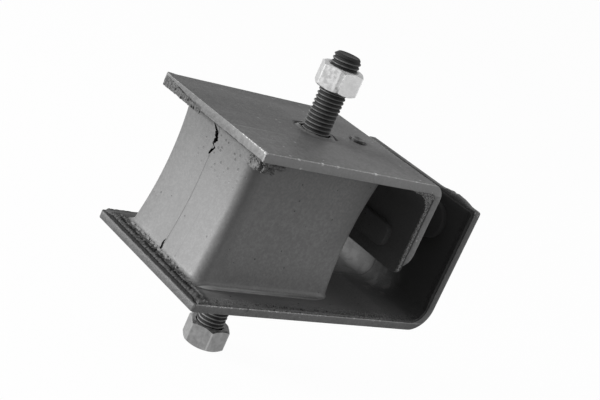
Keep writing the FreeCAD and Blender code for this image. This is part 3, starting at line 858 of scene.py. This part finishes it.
def makeCutter(path, depth, faceX):  # a jagged sliver that opens a split in the left face
    bm = bmesh.new()
    left, right = [], []
    for i, ((y0, z0, w0), (y1, z1, w1)) in enumerate(zip(path, path[1:] + path[-1:])):
        for k in (0.0, 0.25, 0.5, 0.75) if (y0, z0) != (y1, z1) else (0.0,):
            y, z, w = y0 + (y1 - y0) * k, z0 + (z1 - z0) * k, w0 + (w1 - w0) * k
            left.append(bm.verts.new((faceX - 3, y - w * (1 + 0.7 * rough((i + k, 0, 0), 2.9, 4)), z)))
            right.append(bm.verts.new((faceX - 3, y + w * (1 + 0.7 * rough((i + k, 9, 0), 2.9, 6)), z)))
    bm.faces.new(left + right[::-1])
    thicken(bm, (depth + 3, 0, 0))
    bmesh.ops.triangulate(bm, faces=[f for f in bm.faces if len(f.verts) > 4])
    bmesh.ops.recalc_face_normals(bm, faces=bm.faces[:])
    return bm


def combine(baseBm, toolBm, operation):  # boolean of two meshes, returned as one bmesh
    base, tool = (addObject("boolean", meshFrom("boolean", bm)) for bm in (baseBm, toolBm))
    step = base.modifiers.new("join", "BOOLEAN")
    step.operation, step.solver, step.object = operation, "EXACT", tool
    shaped = bpy.data.meshes.new_from_object(base.evaluated_get(bpy.context.evaluated_depsgraph_get()))
    bm = bmesh.new()
    bm.from_mesh(shaped)
    for made in (base, tool):
        mesh = made.data
        bpy.data.objects.remove(made)
        bpy.data.meshes.remove(mesh)
    bpy.data.meshes.remove(shaped)
    return bm


lowerSkin = {
    "free": -45.7, "reach": 80.5, "height": 55.0, "seat": 3.5, "fold": 1, "depth": 76.2,
    "plate": 2.0, "flange": 2.0, "outerRadius": 7.5, "innerRadius": 6.0, "drop": 0.15, "edgeDrop": 1.1,
    "corners": (1.5, 1.5, 1.5, 1.5), "rims": (0, 0.2), "dropSpan": (78, 88), "edgeSpan": (0.0, 8.0),
    "ragged": 0.26, "swell": 0.05, "edgeRagged": 0.16, "endHeight": 0.5, "endSpan": (-0.4, 2.2),
}
upperSkin = {
    "free": -39.8, "reach": 53.4, "height": 38.3, "seat": 63.6, "fold": -1, "depth": 74.8,
    "plate": 0.8, "flange": 2.4, "outerRadius": 2.7, "innerRadius": 9.0,
    "corners": (1.5, 1.5, 3.0, 3.0), "rims": (0, 0.1),
}


def makeLowerSkin(spec):
    bm, length, half = flatPattern(spec)
    cutAt(bm, 0, stations(0.3, 4.2, 0.3) + stations(5, length - 5, 1.2)
          + stations(length - 4, length - 0.5, 0.7))
    cutAt(bm, 0, foldStations(spec, 10) + stations(length - 46, length - 1, 0.6))
    fine = stations(-half + 0.3, -half + 4.5, 0.35)
    cutAt(bm, 1, fine + stations(-half + 5.3, -half + 12, 0.8) + stations(-25, 25, 1.0)
          + stations(26, half - 5, 1.6))
    cutAt(bm, 1, [-y for y in fine])
    flat = foldPlace(spec)[0]
    for v in bm.verts:
        s, y, h = v.co
        side = half - abs(y)
        if h > 0.5:
            low = 1 - ramp(s, *spec["dropSpan"])  # lower beside the foot than on the open floor
            drop = max(low * spec["drop"], spec["edgeDrop"] * (1 - ramp(side, *spec["edgeSpan"])))
            inFold = ramp(s, flat + 8, flat + 16) * (1 if side > 2 else 0.7)
            v.co.z -= drop * (1 - inFold)
            torn = max(1 - ramp(side, 1.5, 3.2), 1 - ramp(s, 1.8, 3.2))
            v.co.z += torn * (spec["ragged"] * rough((s, y, 0), 1.4, 31) + 0.14 * rough((s, y, 0), 3.1, 33))
            v.co.z += spec["swell"] * rough((s, y, 0), 0.35, 2)
            v.co.z -= (spec["plate"] - spec["endHeight"]) * (1 - ramp(s, *spec["endSpan"]))
        if side < 0.3:
            v.co.y += math.copysign(1, y) * spec["edgeRagged"] * rough((s, 0, h), 1.5, 12)
    foldSheet(bm, spec)
    return bm


def makeUpperSkin(spec):
    bm, length, half = flatPattern(spec)
    cutAt(bm, 0, stations(2, length - 2, 1.5) + foldStations(spec, 16))
    cutAt(bm, 1, [-half + 0.4, -half + 1, -half + 2.2] + stations(-half + 4, half - 4, 3)
          + [half - 2.2, half - 1])
    start = foldPlace(spec)[0]
    for v in bm.verts:
        s, y, h = v.co
        side = half - abs(y)
        plateShare = 1 - ramp(s, start - 8, start)
        if h > 0.3:
            v.co.z *= 1 - 0.75 * plateShare * (1 - ramp(side, 0.0, 3.0))
            v.co.z += (1 - plateShare) * (1 - ramp(side, 0.5, 3.0)) * 0.07 * rough((s, y, 2), 1.2, 40)
        if side < 0.2:
            v.co.y += math.copysign(1, y) * (0.1 * rough((s * 2, 0, h * 9), 0.9, 17) - 0.25 * plateShare)
    foldSheet(bm, spec)
    return bm


def makeStop(length, width, height, corner, bevel, skinFace, level):
    bm = roundedSlab(width, length, height + 0.5, (corner,) * 4, (0, bevel))
    turnAll(bm, -90, "Y")
    shift(bm, (skinFace + 0.5, 0, level))
    return bm


def makeLump(center, size, amount, seed, cuts=5):  # a crumb of flash left by the mould
    bm = bmesh.new()
    bmesh.ops.create_icosphere(bm, subdivisions=cuts, radius=1.0)
    for v in bm.verts:
        p = v.co.copy()
        uneven = rough(p * 2.5, 1.0, seed) + 0.5 * rough(p * 6, 1.0, seed + 3)
        uneven += 0.3 * rough(p * 14, 1.0, seed + 7)
        grow = 1 + amount * uneven
        squared = Vector([math.copysign(abs(c) ** 0.6, c) for c in p])
        v.co = Vector([center[i] + squared[i] * size[i] * grow for i in range(3)])
    return bm


def makeRubberPiece(spec):
    whole = makeBlockShell(spec)
    for split in spec["splits"]:
        whole = combine(whole, makeCutter(*split), "DIFFERENCE")
    shells = [makeLowerSkin(lowerSkin), makeUpperSkin(upperSkin)]
    shells += [makeStop(*stop) for stop in spec["stops"]] + [makeLump(*lump) for lump in spec["lumps"]]
    for shell in shells:
        addShell(whole, shell)
    finishPiece("rubberMoulding", whole, blackRubber, ["rubber_block"], 40)


makeRubberPiece(rubberBlock)


tornFlash = {
    "left": -45.9, "right": -41.0, "front": -36.9, "back": 35.5, "cell": 0.3, "bottom": 3.45, "top": 4.3,
    "climb": 1.15, "grit": 0.22, "pits": 0.7, "alongFront": (-24, -10), "alongBack": (20, 28),
    "crumb": ((26.4, -30.0, 4.7), (0.8, 0.6, 0.5), 0.3, 48, 4),
    "rowSize": (108, 2.1), "rowMiddle": (9.4, -37.2, 3.3), "rowTop": 3.55,
    "smearSize": (28.4, 4.4), "smearMiddle": (22.6, 64.7), "smearFace": -42.6, "smearBack": -42.2,
    "smearTop": 64.4, "smearRise": 2.2, "smearFront": (8, 36),
}


def makeFrontCrumbs(spec):  # a thin row of crumbs along the plate's front edge
    bm = grid(*spec["rowSize"], 330, 7)
    shift(bm, spec["rowMiddle"])
    for v in thicken(bm):
        x, y = v.co.x, v.co.y
        thick = ramp(x, -46, -40) * (1 - ramp(x, 56, 63)) * ramp(y, -38.4, -37.6)
        ragged = 0.75 + 0.75 * rough((x, y, 0), 1.2, 71) + 0.5 * rough((x, y, 0), 2.6, 75)
        v.co.z = spec["rowTop"] + thick * ragged
        v.co.y += 0.25 * rough((x, y, 2), 1.2, 78)
    return bm


def makePlateSmear(spec):  # rubber smeared up the back half of the upper plate's left end
    bm = grid(*spec["smearSize"], 96, 16)
    outer = set(thicken(bm))
    for v in bm.verts:
        y, z = spec["smearMiddle"][0] + v.co.x, spec["smearMiddle"][1] + v.co.y
        top = spec["smearTop"] + spec["smearRise"] * ramp(y, *spec["smearFront"])
        inside = (1 - ramp(z, top - 0.2, top + 0.3)) * ramp(y, 8.5, 12) * (1 - ramp(y, 35.6, 36.8))
        dents = 0.16 * rough((y, z, 0), 0.9, 81) + 0.1 * rough((y, z, 0), 2.0, 85)
        z += 0.25 * rough((y, 0, 0), 0.8, 88) * (1 - ramp(z, 62.5, 63.2))
        face = spec["smearFace"] - inside * (0.3 + dents)
        v.co = Vector((face if v in outer else spec["smearBack"], y, z))
    return bm


def makeTornFlash(spec):  # the torn band along the foot, where the flash of the mould was cut off
    width, depth, cell = spec["right"] - spec["left"], spec["back"] - spec["front"], spec["cell"]
    bm = grid(width, depth, int(width / cell), int(depth / cell))
    shift(bm, ((spec["left"] + spec["right"]) / 2, (spec["front"] + spec["back"]) / 2, spec["bottom"]))
    for v in thicken(bm):
        x, y = v.co.x, v.co.y
        ends = ramp(y, spec["front"], spec["front"] + 3) * (1 - ramp(y, spec["back"] - 5, spec["back"]))
        along = ramp(y, *spec["alongFront"]) * (1 - ramp(y, *spec["alongBack"]))  # where there is a crease
        climb = ramp(x, -45.6, -43.4) * spec["climb"]
        climb += along * (0.4 * ramp(x, -43.9, -42.4) + 1.1 * ramp(x, -42.3, -41.1))
        grit = spec["grit"] * rough((x, y, 0), 1.1, 51) + 0.16 * rough((x, y, 0), 2.2, 57)
        pits = along * ramp(x, -43.2, -42.6) * ramp(rough((x, y, 5), 1.0, 61), 0.05, 0.35)
        v.co.z = spec["top"] + ends * (0.1 + climb + grit - spec["pits"] * pits) - 0.6 * (1 - ends)
        v.co.x += 0.2 * rough((x, y, 9), 1.3, 66)
    for shell in (makePlateSmear(spec), makeLump(*spec["crumb"]), makeFrontCrumbs(spec)):
        addShell(bm, shell)
    finishPiece("tornFlash", bm, tornRubber, [], 60)


makeTornFlash(tornFlash)


def makeStud(name, node, material, stud):  # thread, neck and head
    spec = studThread
    pitch, recess, length, plate = spec["pitch"], spec["recess"], stud["length"], stud["plate"]
    bm = bmesh.new()
    start = -recess - pitch
    rows = int((length + 2 * pitch + recess) / pitch) + 1
    depth = spec["crest"] - spec["root"]
    profile = [bm.verts.new((spec["root"] + depth * rise, 0, start + (row + offset) * pitch))
               for row in range(rows) for offset, rise in spec["tooth"]]
    profile.append(bm.verts.new((spec["root"], 0, start + rows * pitch)))
    edges = [bm.edges.new(pair) for pair in zip(profile, profile[1:])]
    bmesh.ops.spin(bm, geom=profile + edges, cent=origin, axis=(0, 0, 1), dvec=(0, 0, pitch / spec["steps"]),
                   angle=math.radians(360), steps=spec["steps"], use_merge=False, use_duplicate=False)
    bmesh.ops.remove_doubles(bm, verts=bm.verts[:], dist=0.002)
    for level, keepAbove in ((-recess, True), (length, False)):
        everything = bm.verts[:] + bm.edges[:] + bm.faces[:]
        bmesh.ops.bisect_plane(bm, geom=everything, plane_co=(0, 0, level), plane_no=(0, 0, 1), dist=1e-4,
                               clear_inner=keepAbove, clear_outer=not keepAbove)
        rim = [e for e in bm.edges if e.is_boundary and all(abs(v.co.z - level) < 1e-3 for v in e.verts)]
        bmesh.ops.edgeloop_fill(bm, edges=rim)
    for v in bm.verts:  # the end's chamfer runs through the threads
        radius = math.hypot(v.co.x, v.co.y)
        limit = min(spec["crest"], spec["crest"] - spec["chamfer"] + (length - v.co.z))
        if radius > limit:
            v.co.x *= limit / radius
            v.co.y *= limit / radius
    endFace = [f for f in bm.faces if all(abs(v.co.z - length) < 1e-3 for v in f.verts)]
    bmesh.ops.inset_region(bm, faces=endFace, thickness=spec["endInset"])
    bmesh.ops.translate(bm, vec=(0, 0, -spec["endSink"]), verts=list({v for f in endFace for v in f.verts}))
    neck, head = (spec["neck"], -plate, -recess), (spec["head"], -plate - spec["headHeight"], -plate)
    for radius, low, high in (neck, head):
        bmesh.ops.create_cone(bm, cap_ends=True, segments=48, radius1=radius, radius2=radius,
                              depth=high - low, matrix=Matrix.Translation((0, 0, (low + high) / 2)))
    turnAll(bm, stud["turn"], "Z")
    if stud["direction"] < 0:
        turnAll(bm, 180, "X")
    shift(bm, (stud["x"], 0, stud["seat"]))
    finishPiece(name, bm, material, [node], 30)


makeStud("upperStudThread", "upper_stud", upperStudBlack, upperStud)
makeStud("lowerStudThread", "lower_stud", lowerStudBlack, lowerStud)


def makeNut(name, node, material, nut):  # a hex prism turned down by a cone at both ends
    spec = hexNut
    half, bore, crown, sink = spec["height"] / 2, spec["bore"], spec["crown"], spec["sink"]
    prism = bmesh.new()
    corner = spec["acrossFlats"] / math.sqrt(3)
    bmesh.ops.create_cone(prism, cap_ends=True, segments=6, radius1=corner, radius2=corner,
                          depth=spec["height"], matrix=Matrix.Rotation(math.radians(30), 4, "Z"))
    cone = bmesh.new()
    reach = half / math.tan(math.radians(spec["angle"]))
    outline = [(bore, half - sink), (bore + sink, half), (crown, half), (crown + reach, 0), (crown, -half),
               (bore + sink, -half), (bore, -half + sink), (bore, half - sink)]
    lathe(cone, outline, 72)
    bmesh.ops.remove_doubles(cone, verts=cone.verts[:], dist=1e-5)
    bmesh.ops.recalc_face_normals(cone, faces=cone.faces[:])
    bm = combine(prism, cone, "INTERSECT")
    sharp = [e for e in bm.edges if len(e.link_faces) == 2 and e.calc_face_angle(0) > math.radians(18)]
    bmesh.ops.bevel(bm, geom=sharp, offset=spec["edge"], affect="EDGES", segments=2, profile=0.5,
                    material=-1, clamp_overlap=True)
    turnAll(bm, nut["turn"], "Z")
    shift(bm, (nut["x"], 0, nut["bottom"] + half))
    finishPiece(name, bm, material, [node], 30)


makeNut("upperHexNut", "upper_nut", brightZinc, upperNut)
makeNut("lowerHexNut", "lower_nut", shadedZinc, lowerNut)


studio = {
    "floorZ": -34.4, "floorSize": 60.0, "floorWhite": 1.035, "floorGrey": 0.35, "floorShare": 0.94,
    "worldSoft": 0.3, "keyStrength": 32.0, "fillStrength": 1.9,
    "eye": (-361.13, -389.57, 189.44), "aim": (15.51, -3.54, 38.26), "roll": 24.11, "lens": 80.503,
    # place, aim and size in millimetres
    "key": ((-860, 500, 205), (0, 0, 30), (480, 420)), "fill": ((560, -740, 120), (20, 0, 30), (1000, 750)),
}


def seenRays(tree):  # 1 where the camera sees the surface, directly, in a reflection or through glass
    path = addNode(tree, "ShaderNodeLightPath").outputs
    return largest(tree, path["Is Glossy Ray"], path["Is Transmission Ray"], path["Is Camera Ray"])


def makeFloor():
    bm = bmesh.new()
    bmesh.ops.create_grid(bm, x_segments=4, y_segments=4, size=studio["floorSize"] / 2)
    shift(bm, (0, 0, studio["floorZ"] * mm))
    mesh = meshFrom("studioFloor", bm)
    floor = addObject("studioFloor", mesh)
    material = bpy.data.materials.new("paleFloor")
    material.use_nodes = True
    tree = material.node_tree
    output = tree.nodes["Material Output"]
    matte = tree.nodes["Principled BSDF"]
    matte.inputs["Base Color"].default_value = grey(studio["floorGrey"])
    matte.inputs["Roughness"].default_value = 0.9
    matte.inputs["Specular IOR Level"].default_value = 0.0
    glow = addNode(tree, "ShaderNodeEmission", None, {"Color": grey(1.0), "Strength": studio["floorWhite"]})
    share = times(tree, seenRays(tree), studio["floorShare"])
    mix = addNode(tree, "ShaderNodeMixShader", None, {0: share, 1: matte.outputs[0], 2: glow.outputs[0]})
    tree.links.new(mix.outputs[0], output.inputs["Surface"])
    mesh.materials.append(material)


def makeWorld():
    world = bpy.data.worlds.new("softStudio")
    world.use_nodes = True
    tree = world.node_tree
    backdrop = tree.nodes["Background"]
    backdrop.inputs["Color"].default_value = grey(1.0)
    soft = studio["worldSoft"]
    strength = math2(tree, "ADD", times(tree, seenRays(tree), 1.0 - soft), soft)
    tree.links.new(strength, backdrop.inputs["Strength"])
    bpy.context.scene.world = world


def addSoftbox(name, strength, place, aim, size):
    lamp = bpy.data.lights.new(name, "AREA")
    lamp.shape = "RECTANGLE"
    lamp.size, lamp.size_y = size[0] * mm, size[1] * mm
    lamp.energy = strength * math.pi * size[0] * mm * size[1] * mm  # strength is the lamp's own brightness
    made = addObject(name, lamp)
    made.location = Vector(place) * mm
    made.rotation_euler = (Vector(aim) - Vector(place)).to_track_quat("-Z", "Y").to_euler()


def makeCamera():
    lens = bpy.data.cameras.new("photoCamera")
    lens.lens = studio["lens"]
    lens.sensor_width = 36.0
    lens.clip_start, lens.clip_end = 0.01, 200.0
    camera = addObject("photoCamera", lens)
    eye, aim = Vector(studio["eye"]) * mm, Vector(studio["aim"]) * mm
    roll = Matrix.Rotation(math.radians(studio["roll"]), 3, "Z")
    turn = (aim - eye).to_track_quat("-Z", "Y").to_matrix() @ roll
    camera.matrix_world = Matrix.Translation(eye) @ turn.to_4x4()
    bpy.context.scene.camera = camera


makeFloor()
makeWorld()
addSoftbox("keySoftbox", studio["keyStrength"], *studio["key"])
addSoftbox("frontFill", studio["fillStrength"], *studio["fill"])
makeCamera()
bpy.context.scene.view_settings.view_transform = "Standard"
print("studio made")
